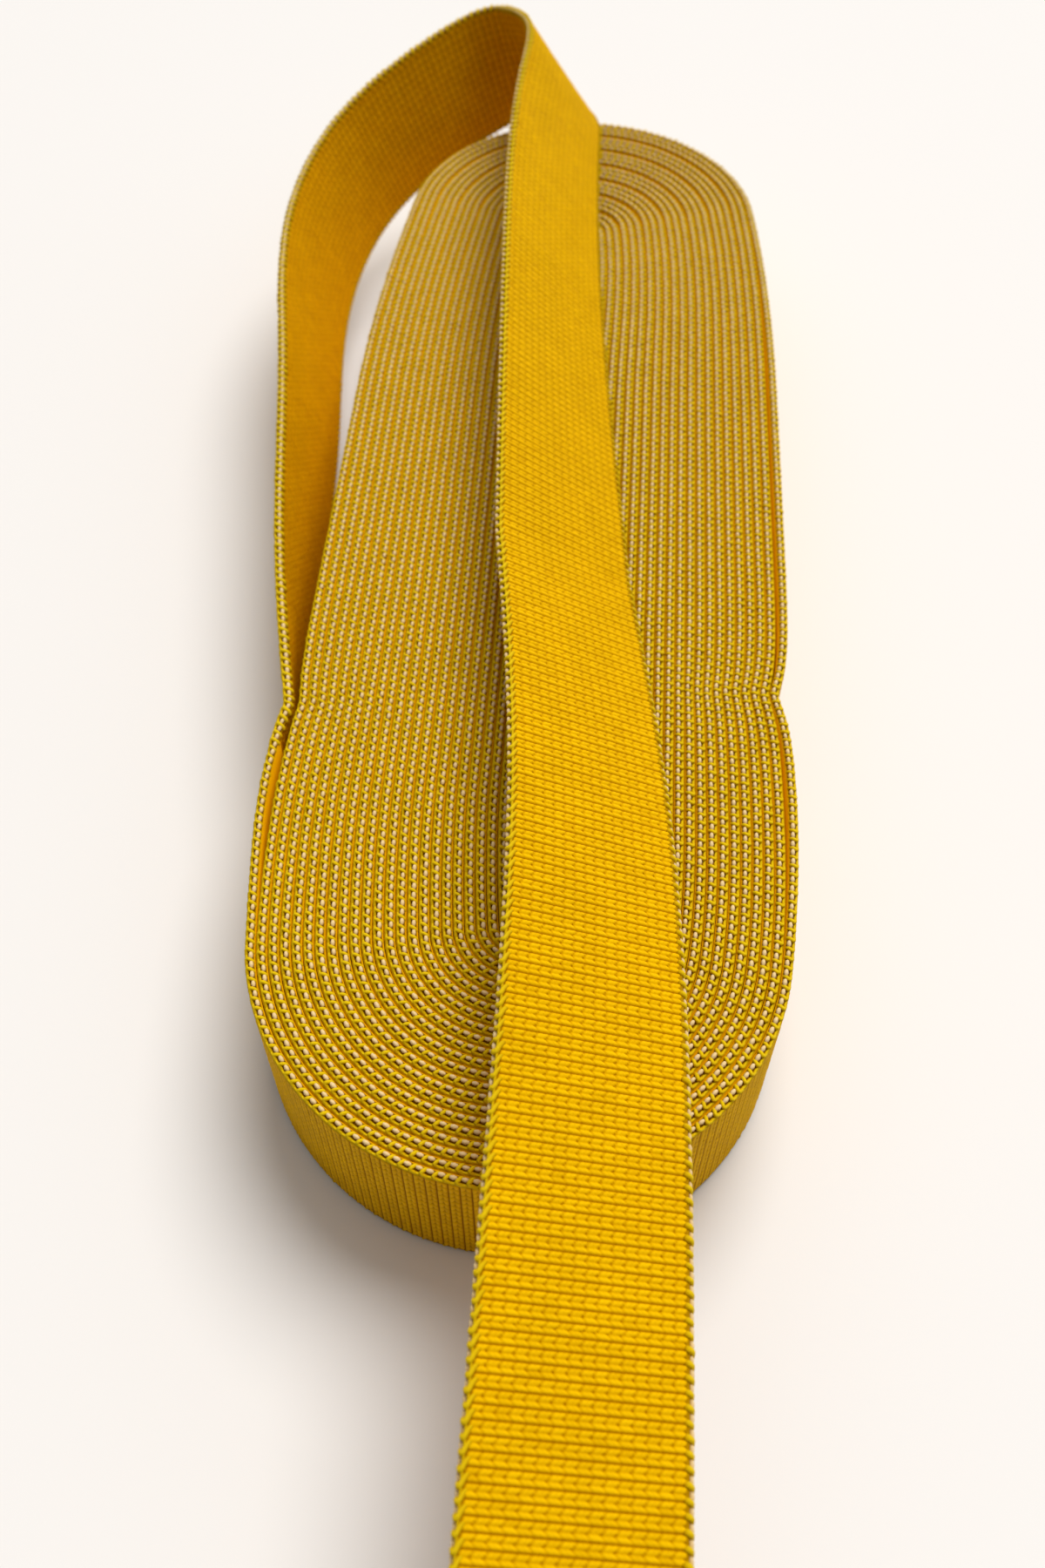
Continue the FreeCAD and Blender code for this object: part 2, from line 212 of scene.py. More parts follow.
def left_side_points(lap):
    """Left side of a lap, walked from front to back; lap 0 stops at the waist, where it peels off."""
    front = arc_end("front", lap, -1)
    if lap == 0:
        middle, back = (LEFT_OUTER, LEFT_OUTER), (LEFT_OUTER, ARCS["back"]["y"])
        stop_y = LEFT_WAIST_Y
    else:
        inwards = LEFT_PITCH * (lap - 1)
        middle = (LEFT_FIRST - inwards, LEFT_FIRST - LEFT_SPREAD - inwards)
        back = arc_end("back", lap - 1, -1)
        stop_y = back[1]
    depth = dent_depth(LEFT_DENTS, lap)
    return side_points(-1, back, middle, front, LEFT_WAIST_Y, depth, front[1], stop_y)


def coil_points():
    """Middle of the belting seen from above, from its inner end out to the left waist."""
    runs = []
    for lap in reversed(range(LAPS)):
        runs.append(right_side_points(lap))
        runs.append(arc_points("front", lap, 2 * math.pi - SHOULDER, math.pi + SHOULDER))
        runs.append(left_side_points(lap))
        if lap > 0:
            runs.append(arc_points("back", lap - 1, math.pi - SHOULDER, SHOULDER))
    flat = np.concatenate(runs)
    height = np.full((len(flat), 1), HALF_WIDTH)
    lean = np.zeros((len(flat), 1))
    return np.hstack([flat, height, lean])


def spline_points(stations):
    """Natural cubic spline through stations, as dense rows of x, y, z and lean."""
    rows = np.array(stations)
    knots = np.concatenate([[0], np.cumsum(np.linalg.norm(np.diff(rows[:, :3], axis=0), axis=1))])
    count = len(knots)
    steps = np.diff(knots)
    system = np.eye(count)
    rates = np.zeros(rows.shape)
    for i in range(1, count - 1):
        system[i, i - 1:i + 2] = steps[i - 1], 2 * (steps[i - 1] + steps[i]), steps[i]
        rates[i] = 6 * ((rows[i + 1] - rows[i]) / steps[i] - (rows[i] - rows[i - 1]) / steps[i - 1])
    bends = np.linalg.solve(system, rates)
    at = np.linspace(0, knots[-1], int(knots[-1] / PATH_STEP) + 1)
    i = np.clip(np.searchsorted(knots, at, side="right") - 1, 0, count - 2)
    span = steps[i][:, None]
    b = (at[:, None] - knots[i][:, None]) / span
    a = 1 - b
    curve = (a ** 3 - a) * bends[i] + (b ** 3 - b) * bends[i + 1]
    return a * rows[i] + b * rows[i + 1] + curve * span ** 2 / 6


def resampled(rows):
    """The same path with its points PATH_STEP apart."""
    gaps = np.linalg.norm(np.diff(rows[:, :3], axis=0), axis=1)
    rows = rows[np.concatenate([[True], gaps > SAME_PLACE])]
    gaps = gaps[gaps > SAME_PLACE]
    along = np.concatenate([[0], np.cumsum(gaps)])
    at = np.arange(0, along[-1], PATH_STEP)
    return np.stack([np.interp(at, along, column) for column in rows.T], axis=1)


def ease_kink(rows, place):
    """Rounds the path a little where it turns sharply at a place."""
    middle = int(np.argmin(np.linalg.norm(rows[:, :3] - place, axis=1)))
    reach = int(KINK_REACH / PATH_STEP)
    offsets = np.arange(-reach, reach + 1)
    weights = np.exp(-0.5 * (offsets * PATH_STEP / KINK_SIGMA) ** 2)
    weights /= weights.sum()
    near = np.arange(middle - reach, middle + reach + 1)
    rows[near] = np.stack([weights @ rows[i + offsets] for i in near])


class Belting:
    """The path with its frame: middle point, width direction and outward direction at every s."""

    def __init__(self):
        runs = [coil_points(), spline_points(LOOP_STATIONS), spline_points(TAIL_STATIONS)]
        rows = resampled(np.concatenate(runs))
        ease_kink(rows, np.array(LOOP_STATIONS[0][:3]))
        ease_kink(rows, np.array(TAIL_STATIONS[0][:3]))
        rows = resampled(rows)
        self.middle = rows[:, :3]
        run = np.gradient(self.middle, axis=0)
        run /= np.linalg.norm(run, axis=1, keepdims=True)
        lean = np.radians(rows[:, 3])
        upright = np.stack([-np.sin(lean), np.zeros(len(lean)), np.cos(lean)], axis=1)
        width = upright - run * (upright * run).sum(axis=1, keepdims=True)
        width /= np.linalg.norm(width, axis=1, keepdims=True)
        self.run = run
        self.width = width
        self.normal = np.cross(width, run)
        self.length = (len(rows) - 1) * PATH_STEP

    def at(self, table, s):
        """A stored direction or point at distances s, by linear interpolation."""
        # Kept just short of the last row, so that there is a row after it.
        place = np.clip(s / PATH_STEP, 0, len(table) - 1.001)
        i = place.astype(int)
        share = (place - i)[..., None]
        return table[i] * (1 - share) + table[i + 1] * share

    def points(self, s, w, o):
        """Points of the object, in millimetres, from belting coordinates."""
        past = s - np.clip(s, 0, self.length)
        middle = self.at(self.middle, s) + self.at(self.run, s) * past[..., None]
        return middle + self.at(self.width, s) * w[..., None] + self.at(self.normal, s) * o[..., None]

    def nearest(self, point, start):
        """Distance along the path of the place closest to a point, from a start onwards."""
        first = int(start / PATH_STEP)
        away = np.linalg.norm(self.middle[first:] - np.array(point), axis=1)
        return (first + int(np.argmin(away))) * PATH_STEP


belting = Belting()
# The left waist, where the outermost lap peels off, lies in this last length of the path.
WAIST_SEARCH = 1200
WAIST_S = belting.nearest(LOOP_STATIONS[0][:3], belting.length - WAIST_SEARCH)


# ------------------------------------------------------------------ mesh building

CELL_MARGIN = 0.04          # empty border inside the chart cell of a stitch
STRIP_MARGIN = 0.03         # empty border inside the chart strip of a bar
STRIP_LENGTH = 90           # a bar is charted as a stack of strips, more for a longer bar
STITCH_WOBBLE = 0.035       # how much one edge stitch differs from the next, in place and in size


class Mesh:
    """Collects closed primitives and turns them into one Blender mesh object.

    Each vertex keeps its belting coordinates (strap) and its painted light, which the yarns are
    coloured by:
    painted shade, darkest deep in the weave and on sides turned from the light. The chart is the layout
    for baked textures.
    """

    def __init__(self):
        self.points = []
        self.strap = []
        self.painted_light = []
        self.corners = []
        self.sizes = []
        self.chart = []
        self.count = 0

    def add(self, s, w, o, painted_light, faces):
        """Vertices in belting coordinates; faces is a list of (corner indices, chart corners)."""
        self.points.append(belting.points(s, w, o))
        self.strap.append(np.stack([s, w, o], axis=1))
        self.painted_light.append(painted_light)
        for corners, chart in faces:
            self.corners.append((corners + self.count).ravel())
            self.sizes.append(np.full(len(corners), corners.shape[1]))
            self.chart.append(chart.reshape(-1, 2))
        self.count += len(s)

    def build(self, name, material):
        """The Blender object, in metres, with its attributes, chart and material."""
        mesh = bpy.data.meshes.new(name)
        points = np.concatenate(self.points) * METRES
        corners = np.concatenate(self.corners)
        sizes = np.concatenate(self.sizes)
        mesh.vertices.add(len(points))
        mesh.vertices.foreach_set("co", points.astype(np.float32).ravel())
        mesh.loops.add(len(corners))
        mesh.loops.foreach_set("vertex_index", corners.astype(np.int32))
        mesh.polygons.add(len(sizes))
        starts = np.concatenate([[0], np.cumsum(sizes)[:-1]])
        mesh.polygons.foreach_set("loop_start", starts.astype(np.int32))
        mesh.polygons.foreach_set("use_smooth", np.ones(len(sizes), bool))
        mesh.update(calc_edges=True)
        painted_light = mesh.attributes.new("painted_light", "FLOAT", "POINT")
        painted_light.data.foreach_set("value", np.concatenate(self.painted_light).astype(np.float32))
        strap = mesh.attributes.new("strap", "FLOAT_VECTOR", "POINT")
        strap.data.foreach_set("vector", np.concatenate(self.strap).astype(np.float32).ravel())
        chart = mesh.uv_layers.new(name="OFBake")
        chart.data.foreach_set("uv", np.concatenate(self.chart).astype(np.float32).ravel())
        mesh.materials.append(material)
        piece = bpy.data.objects.new(name, mesh)
        bpy.context.scene.collection.objects.link(piece)
        return piece


def chart_cells(count, corners, top=1.0, bottom=0.0):
    """Gives each of count copies of a chart its own cell of a grid between two heights."""
    columns = max(1, math.ceil(math.sqrt(count)))
    rows = math.ceil(count / columns)
    cell = np.arange(count)
    size = np.array([1 / columns, (top - bottom) / rows])
    low = np.stack([cell % columns, cell // columns], axis=1) * size + np.array([0, bottom])
    inside = CELL_MARGIN + (1 - 2 * CELL_MARGIN) * corners
    return low[:, None, None, :] + inside[None] * size


def sweep(mesh, s, profile, lift, painted_light, top=1.0, bottom=0.0):
    """Closed bar along the belting: a ring of profile points (w, o) at every s, lifted outwards."""
    rings, ring = len(s), len(profile)
    side = np.sign(profile[:, 1].sum())
    ss = np.repeat(s, ring)
    ww = np.tile(profile[:, 0], rings)
    oo = np.tile(profile[:, 1], rings) + side * lift.ravel()
    i = np.repeat(np.arange(rings - 1), ring)
    j = np.tile(np.arange(ring), rings - 1)
    following = (j + 1) % ring
    quads = np.stack([i * ring + j, (i + 1) * ring + j, (i + 1) * ring + following,
                      i * ring + following], axis=1)
    rows = max(1, round(math.sqrt((s[-1] - s[0]) / STRIP_LENGTH)))
    row_rings = math.ceil((rings - 1) / rows)
    size = np.array([1 / row_rings, (top - bottom) / rows])
    left = i % row_rings
    height = i // row_rings
    u = np.stack([left, left + 1, left + 1, left], axis=1) * size[0]
    around = np.stack([j, j, j + 1, j + 1], axis=1) / ring
    v = (height[:, None] + STRIP_MARGIN + (1 - 2 * STRIP_MARGIN) * around) * size[1]
    caps = np.stack([np.arange(ring), (rings - 1) * ring + np.arange(ring)[::-1]])
    cap_chart = np.zeros(caps.shape + (2,))
    faces = [(quads, np.stack([u, bottom + v], axis=2)), (caps, cap_chart)]
    mesh.add(ss, ww, oo, painted_light.ravel(), faces)


def plain_sweep(mesh, s, profile, painted_light, **chart):
    """A sweep with nothing raised, the same painted light along each line of the profile."""
    profile = np.array(profile)
    flat = np.zeros((len(s), len(profile)))
    sweep(mesh, s, profile, flat, np.tile(np.array(painted_light, float), (len(s), 1)), **chart)


def scatter(mesh, template, stitches, side, rng, **chart):
    """One copy of a template at each stitch of the upper (+1) or lower (-1) edge, none quite alike."""
    local, painted_light, faces = template
    count, size = len(stitches), len(local)
    nudge = rng.normal(0, STITCH_WOBBLE, (count, 1, 3))
    swell = 1 + rng.normal(0, STITCH_WOBBLE, (count, 1, 1))
    middle = local.mean(axis=0)
    moved = middle + (local - middle)[None] * swell + nudge
    s = (stitches[:, None] * PERIOD + moved[..., 0]).ravel()
    o = (side * moved[..., 1]).ravel()
    w = (side * (HALF_WIDTH + moved[..., 2])).ravel()
    first = (np.arange(count) * size)[:, None, None]
    placed = [((first + corners).reshape(-1, corners.shape[1]), chart_cells(count, uv, **chart))
              for corners, uv in faces]
    mesh.add(s, w, o, np.tile(painted_light, count), placed)


# ------------------------------------------------------------------ edge stitches
# Templates are in a stitch's own millimetres: along the belting, outwards, and up from the edge.

# Centre line of a yellow edge loop: it comes up on the inner side, crosses the edge at a slant,
# turns over the outer shoulder and runs back down the outer face.
LOOP_LINE = (
    (-0.36, -0.60, -1.76),
    (-0.30, -0.78, -1.42),
    (-0.14, -0.80, -0.98),
    (0.02, -0.58, -0.60),
    (0.28, -0.10, -0.48),
    (0.54, 0.36, -0.50),
    (0.62, 0.70, -0.60),
    (0.26, 0.84, -0.80),
    (-0.38, 0.84, -1.08),
    (-1.06, 0.78, -1.54),
    (-1.66, 0.56, -2.12),
)
LOOP_RADII = (0.46, 0.58, 0.56, 0.50, 0.52, 0.54, 0.52, 0.46, 0.46, 0.46, 0.30)
# A loop has a painted highlight where it looks up and away from the middle of the thickness, and
# painted shade on its other side that deepens slowly below its top.
LOOP_PAINTED_LIGHT_RISE = 0.6
LOOP_PAINTED_LIGHT, LOOP_PAINTED_LIGHT_SWING = 0.62, 0.38
LOOP_TOP, LOOP_SHADE_DEPTH = -0.4, 6.0

# Bead of the cream filling that shows between two loops.
CREAM_MIDDLE = (1.46, -0.30, -0.54)
CREAM_SIZE = (0.90, 0.52, 0.54)
# Painted shade on the underside of a bead, lighter towards its top.
CREAM_PAINTED_LIGHT, CREAM_PAINTED_LIGHT_SWING = 0.6, 0.4

# Cord that fills the outer shoulder between two loops.
SHOULDER_CORD = {"o": 0.84, "radius": 0.36, "sides": 5}
# Painted shade on the cord's underside, lighter on its top.
CORD_PAINTED_LIGHT, CORD_PAINTED_LIGHT_SWING = 0.62, 0.3

# The edges of the free belting are fuller than those pressed together in the coil, and they are seen
# from nearer. Spread is their reach to each side, rings and sides are the detail of a loop, and steps
# that of the bed and the cord in one stitch.
FREE_EDGE = {"fullness": 1.16, "spread": 1.0, "cord_z": -0.84, "rings": 15, "sides": 8, "steps": 3}
COIL_EDGE = {"fullness": 0.90, "spread": 0.80, "cord_z": -1.12, "rings": 10, "sides": 6, "steps": 2}
FREE_CREAM = {"rings": 6, "sides": 10}
COIL_CREAM = {"rings": 4, "sides": 8}

# Ground of the edge: a bed under the stitches with a lip on the inner side, as (o, z). It is given a
# low painted light, so painted shade makes it the darkest yellow.
EDGE_BED = (
    (0.72, -1.95),
    (0.72, -1.00),
    (-0.70, -0.96),
    (-0.78, -0.86),
    (-0.94, -0.98),
    (-0.94, -1.95),
)
EDGE_BED_PAINTED_SHADE = (0.4, 0.3, 0.3, 0.36, 0.42, 0.4)
# Lower edge of the inner laps, out of sight under the coil: a plain bar, as (w, o).
PLAIN_EDGE = ((-20.0, -0.9), (-18.2, -1.0), (-18.2, 1.0), (-20.0, 0.9))
# Painted shade on the bar, a little darker where it meets the faces.
PLAIN_EDGE_PAINTED_SHADE = (0.5, 0.4, 0.4, 0.5)

# Parts of a chart, as heights: the bed of an edge, its cord, and the stitches above them.
BED_TOP = 0.1
CORD_TOP = 0.2
# The chart of a core: its band, and the beads above it.
BAND_TOP = 0.1

# The band of filling between the faces, below the beads.
BAND_EDGE = FACE_EDGE - 0.5
BAND_IN, BAND_OUT = -0.22, 0.24
BAND_RELIEF = (0.5, 0.5, 0.5, 0.5)


def smooth_line(points, count):
    """Catmull-Rom curve through points, as count rows."""
    points = np.array(points)
    ends = np.concatenate([[2 * points[0] - points[1]], points, [2 * points[-1] - points[-2]]])
    at = np.linspace(0, len(points) - 1, count)
    i = np.minimum(at.astype(int), len(points) - 2)
    t = (at - i)[:, None]
    a, b, c, d = ends[i], ends[i + 1], ends[i + 2], ends[i + 3]
    straight = 2 * b + (c - a) * t
    bent = (2 * a - 5 * b + 4 * c - d) * t ** 2 + (3 * b - a - 3 * c + d) * t ** 3
    return 0.5 * (straight + bent)


def loop_template(edge):
    """Closed tube along LOOP_LINE, as thick and as wide as the kind of edge has it."""
    rings, sides = edge["rings"], edge["sides"]
    line = smooth_line(LOOP_LINE, rings) * np.array([1.0, edge["spread"], 1.0])
    radii = edge["fullness"] * smooth_line([[r] for r in LOOP_RADII], rings)[:, 0]
    run = np.gradient(line, axis=0)
    run /= np.linalg.norm(run, axis=1, keepdims=True)
    across = np.array([1.0, 0.0, 0.0])
    angles = np.arange(sides) * 2 * math.pi / sides
    points = []
    for middle, direction, radius in zip(line, run, radii):
        across = across - direction * across.dot(direction)
        across /= np.linalg.norm(across)
        upwards = np.cross(direction, across)
        ring = np.cos(angles)[:, None] * across + np.sin(angles)[:, None] * upwards
        points.append(middle + radius * ring)
    points = np.concatenate(points)
    away = points - np.repeat(line, sides, axis=0)
    none = np.zeros(len(points))
    # Painted light: a painted highlight where the tube faces up and away from the middle, painted shade
    # elsewhere and lower down.
    painted_light_towards = np.stack([none, np.repeat(line[:, 1], sides), none + LOOP_PAINTED_LIGHT_RISE], axis=1)
    painted_light_towards /= np.linalg.norm(painted_light_towards, axis=1, keepdims=True)
    facing = (away * painted_light_towards).sum(axis=1) / np.repeat(radii, sides)
    depth = np.clip(1 + (np.repeat(line[:, 2], sides) - LOOP_TOP) / LOOP_SHADE_DEPTH, 0, 1)
    painted_light = np.clip(LOOP_PAINTED_LIGHT + LOOP_PAINTED_LIGHT_SWING * facing, 0, 1) * depth
    i = np.repeat(np.arange(rings - 1), sides)
    j = np.tile(np.arange(sides), rings - 1)
    following = (j + 1) % sides
    quads = np.stack([i * sides + j, i * sides + following, (i + 1) * sides + following,
                      (i + 1) * sides + j], axis=1)
    u = np.stack([i, i, i + 1, i + 1], axis=1) / (rings - 1)
    v = np.stack([j, j + 1, j + 1, j], axis=1) / sides
    caps = np.stack([np.arange(sides)[::-1], (rings - 1) * sides + np.arange(sides)])
    return points, painted_light, [(quads, np.stack([u, v], axis=2)), (caps, np.zeros((2, sides, 2)))]


def cream_template(detail):
    """Closed rounded bead of the cream filling: rings round its long axis, and a point at each end."""
    rings, sides = detail["rings"], detail["sides"]
    polar = np.linspace(0, math.pi, rings + 1)[1:-1]
    angles = np.arange(sides) * 2 * math.pi / sides
    lengthwise = np.outer(np.cos(polar), np.ones(sides))
    outwards = np.outer(np.sin(polar), np.cos(angles))
    upwards = np.outer(np.sin(polar), np.sin(angles))
    body = np.stack([lengthwise, outwards, upwards], axis=2).reshape(-1, 3)
    unit = np.concatenate([body, [[1, 0, 0], [-1, 0, 0]]])
    # Painted shade: a bead is darker on its underside than on its top.
    painted_light = np.clip(CREAM_PAINTED_LIGHT + CREAM_PAINTED_LIGHT_SWING * unit[:, 2], 0, 1)
    i = np.repeat(np.arange(rings - 2), sides)
    j = np.tile(np.arange(sides), rings - 2)
    following = (j + 1) % sides
    quads = np.stack([i * sides + j, (i + 1) * sides + j, (i + 1) * sides + following,
                      i * sides + following], axis=1)
    v = np.stack([i + 1, i + 2, i + 2, i + 1], axis=1) / rings
    u = np.stack([j, j, j + 1, j + 1], axis=1) / sides
    k = np.arange(sides)
    turn = (k + 1) % sides
    last = (rings - 2) * sides
    near = np.stack([np.full(sides, len(body)), k, turn], axis=1)
    far = np.stack([np.full(sides, len(body) + 1), last + turn, last + k], axis=1)
    near_u = np.stack([k + 0.5, k, k + 1], axis=1) / sides
    near_v = np.tile([0, 1 / rings, 1 / rings], (sides, 1))
    far_u = np.stack([k + 0.5, k + 1, k], axis=1) / sides
    far_v = np.tile([1, 1 - 1 / rings, 1 - 1 / rings], (sides, 1))
    near_chart = np.stack([near_u, near_v], axis=2)
    far_chart = np.stack([far_u, far_v], axis=2)
    points = unit * np.array(CREAM_SIZE) + np.array(CREAM_MIDDLE)
    return points, painted_light, [(quads, np.stack([u, v], axis=2)), (near, near_chart), (far, far_chart)]


def stitch_steps(first, last, steps):
    """Distances along the belting from one stitch to another, with so many steps in each."""
    s = np.linspace(first * PERIOD, last * PERIOD, (last - first) * steps + 1)
    return np.concatenate([s[:1], s[:1] + END_RING, s[1:-1], s[-1:] - END_RING, s[-1:]])


def cord_profile(side, edge, angles):
    """Section of the cord on the outer shoulder of an edge, as (w, o)."""
    radius = SHOULDER_CORD["radius"]
    w = side * (HALF_WIDTH + edge["cord_z"] + radius * np.sin(angles))
    o = side * (edge["spread"] * SHOULDER_CORD["o"] - radius * np.cos(angles))
    return np.stack([w, o], axis=1)


def selvedge_mesh(first, last, side, edge, seed):
    """One edge: the row of loops, the cord on the outer shoulder and the bed underneath."""
    mesh = Mesh()
    rng = np.random.default_rng(seed)
    scatter(mesh, loop_template(edge), np.arange(first, last), side, rng, bottom=CORD_TOP)
    s = stitch_steps(first, last, edge["steps"])
    bed = [(side * (HALF_WIDTH + z), side * o) for o, z in EDGE_BED]
    plain_sweep(mesh, s, bed, EDGE_BED_PAINTED_SHADE, top=BED_TOP)
    sides = SHOULDER_CORD["sides"]
    angles = np.arange(sides) * 2 * math.pi / sides + math.pi / 2
    # Painted shade round the cord, lighter on its top.
    cord_painted_light = CORD_PAINTED_LIGHT + CORD_PAINTED_LIGHT_SWING * np.sin(angles)
    plain_sweep(mesh, s, cord_profile(side, edge, angles), cord_painted_light, top=CORD_TOP, bottom=BED_TOP)
    return mesh


def plain_edge_mesh(first, last):
    """The lower edge where it is out of sight."""
    mesh = Mesh()
    plain_sweep(mesh, stitch_steps(first, last, 1), PLAIN_EDGE, PLAIN_EDGE_PAINTED_SHADE)
    return mesh


def core_mesh(first, last, edges, detail, seed):
    """The cream filling: a thin band between the faces with a bead at every stitch of its edges."""
    mesh = Mesh()
    rng = np.random.default_rng(seed)
    template = cream_template(detail)
    for n, side in enumerate(edges):
        low = BAND_TOP + (1 - BAND_TOP) * n / len(edges)
        high = BAND_TOP + (1 - BAND_TOP) * (n + 1) / len(edges)
        scatter(mesh, template, np.arange(first, last), side, rng, top=high, bottom=low)
    band = ((-BAND_EDGE, BAND_IN), (BAND_EDGE, BAND_IN), (BAND_EDGE, BAND_OUT), (-BAND_EDGE, BAND_OUT))
    plain_sweep(mesh, stitch_steps(first, last, 1), band, BAND_RELIEF, top=BAND_TOP)
    return mesh


# ------------------------------------------------------------------ faces
# The ribs run across the belting in pairs, one pair to a stitch: a deep groove between two pairs and a
# shallow one inside a pair. Each rib is a row of raised stitches, called beads here. The beads of the
# two ribs of a pair slant opposite ways. A face begins and ends on the crest of a rib, so that two
# pieces meet without a groove between them.

BEAD = 2.35                 # length of one bead along a rib
RIB_ROUNDNESS = 2.6         # a higher power gives flatter crests
SHALLOW_FALL = 0.42         # how far a rib falls into the shallow groove, 1 being the deep one
# Notch is the dip between two beads, and half_notch the finer dip at every half of a bead.
FIRST_RIB = {"slant": -0.42, "notch": 0.44, "half_notch": 0.32}
SECOND_RIB = {"slant": 0.50, "notch": 0.30, "half_notch": 0.20}
PIT = 0.55                  # hole in the shallow groove where two beads meet
ROW_DRIFT = 0.05            # how far the beads of a rib are out of line with the next rib's
BEAD_LEVEL = 0.07           # how much one bead stands above or below another
HIGHEST = 1.1               # no bead stands above this
CHANCES = 64                # the irregularities repeat after so many ribs and beads
ON_GROOVE = 1e-6            # a place this close before a groove counts as beyond it


def rib_relief(s, w, rng):
    """How high the woven ribs stand, from 0 in the deep grooves to 1 on the crests."""
    place = 2 * s / PERIOD
    row = np.floor(place + ON_GROOVE).astype(int)
    across = np.clip(2 * (place - row) - 1, -1, 1)
    first = row % 2 == 0
    towards_deep = np.where(first, -across, across)
    fall = np.where(towards_deep > 0, 1.0, SHALLOW_FALL)
    crown = 1 - fall * np.abs(across) ** RIB_ROUNDNESS
    chance = rng.normal(0, 1, (CHANCES, CHANCES))
    slant = np.where(first, FIRST_RIB["slant"], SECOND_RIB["slant"]) * across
    spot = (w + slant) / BEAD + ROW_DRIFT * chance[row % CHANCES, 0]
    bead = np.floor(spot).astype(int)
    gap = np.abs(2 * (spot - bead) - 1)
    half_gap = np.abs(2 * (2 * spot - np.floor(2 * spot)) - 1)
    notch = np.where(first, FIRST_RIB["notch"], SECOND_RIB["notch"]) * gap ** 4
    half_notch = np.where(first, FIRST_RIB["half_notch"], SECOND_RIB["half_notch"]) * half_gap ** 3
    level = BEAD_LEVEL * chance[row % CHANCES, bead % CHANCES]
    pit = np.where(towards_deep < 0, PIT * gap ** 5 * np.abs(across) ** 1.5, 0.0)
    return np.clip((crown - (notch + half_notch) * crown - pit) * (1 + level), 0, HIGHEST)


def face_mesh(first, last, side, detail, seed):
    """A woven face as a closed sheet: ribbed outside, flat on the hidden side."""
    mesh = Mesh()
    rng = np.random.default_rng(seed)
    steps, columns = detail
    s = stitch_steps(first, last, steps) + CREST_PLACE
    w = np.linspace(FACE_EDGE, -FACE_EDGE, columns + 1)
    base = CREST - RIB_HEIGHT
    woven = np.stack([side * w, np.full(len(w), side * base)], axis=1)
    back = [(-side * FACE_EDGE, side * FACE_BACK), (side * FACE_EDGE, side * FACE_BACK)]
    profile = np.concatenate([woven, back])
    height = rib_relief(s[:, None] + 0 * w[None], w[None] + 0 * s[:, None], rng)
    border = np.clip((FACE_EDGE - np.abs(w)) / FACE_BEVEL, 0, 1)
    height = height * border
    hidden = np.zeros((len(s), 2))
    lift = np.concatenate([height * RIB_HEIGHT, hidden], axis=1)
    # The rib height also sets the painted light: painted shade in the grooves, towards the border and
    # on the hidden side.
    painted_light = np.concatenate([height, hidden], axis=1)
    sweep(mesh, s, profile, lift, painted_light)
    return mesh


# Painted shade on a pressed face, darkest where its border meets the hidden side.
PRESSED_PAINTED_SHADE = (0.36, 0.6, 0.6, 0.6, 0.36)     # darkest where the border meets the hidden side


def pressed_face_mesh(first, last, side):
    """A face pressed between two laps, where only its border can be seen from above."""
    mesh = Mesh()
    top = CREST + PRESSED_SWELL
    profile = [(side * w, side * o) for w, o in (
        (FACE_EDGE, FACE_BACK),
        (FACE_EDGE, top),
        (0.0, top),
        (-FACE_EDGE, top),
        (-FACE_EDGE, FACE_BACK),
    )]
    plain_sweep(mesh, stitch_steps(first, last, 1) + CREST_PLACE, profile, PRESSED_PAINTED_SHADE)
    return mesh


# ------------------------------------------------------------------ materials

def linear(value):
    """Linear light from a display value, both from 0 to 1 (the sRGB curve)."""
    return value / 12.92 if value <= 0.04045 else ((value + 0.055) / 1.055) ** 2.4


def colour(red, green, blue):
    """Linear colour from 0-255 display values."""
    return [linear(value / 255) for value in (red, green, blue)] + [1.0]


class Nodes:
    """Short way to add nodes to a material and join them.

    An input is called by its label, or by i and its number where several have the same label.
    """

    def __init__(self, name):
        self.material = bpy.data.materials.new(name)
        self.material.use_nodes = True
        self.tree = self.material.node_tree
        self.shader = self.tree.nodes["Principled BSDF"]

    def node(self, kind, settings=None, **inputs):
        made = self.tree.nodes.new(kind)
        for key, value in (settings or {}).items():
            setattr(made, key, value)
        for key, value in inputs.items():
            self.set(made, key, value)
        return made

    def set(self, node, key, value):
        numbered = key[0] == "i" and key[1:].isdigit()
        socket = node.inputs[int(key[1:])] if numbered else node.inputs[key]
        if isinstance(value, bpy.types.NodeSocket):
            self.tree.links.new(value, socket)
        else:
            socket.default_value = value

    def ramp(self, value, stops):
        made = self.tree.nodes.new("ShaderNodeValToRGB")
        elements = made.color_ramp.elements
        while len(elements) < len(stops):
            elements.new(0.5)
        for element, (position, shade) in zip(elements, stops):
            element.position = position
            element.color = shade
        self.tree.links.new(value, made.inputs["Fac"])
        return made.outputs["Color"]

    def belting_noise(self, scale, stretch, detail):
        """Noise in belting coordinates, finer in a direction where stretch is greater."""
        strap = self.node("ShaderNodeAttribute", {"attribute_name": "strap"})
        mapped = self.node("ShaderNodeVectorMath", {"operation": "MULTIPLY"},
                           i0=strap.outputs["Vector"], i1=stretch)
        noise = self.node("ShaderNodeTexNoise", Vector=mapped.outputs[0], Scale=scale, Detail=detail)
        return noise.outputs["Fac"]


FILAMENT_DETAIL = 2.0
FILAMENT_SHADE = 0.22       # how much the filaments lighten and darken the dye
FILAMENT_BUMP = 0.5
FILAMENT_DEPTH = 0.0002     # metres
BLOTCH_SCALE = 0.09         # uneven dye, in patches of about a centimetre
BLOTCH_DETAIL = 3.0
BLOTCH_DARK, BLOTCH_LIGHT = 0.90, 1.08


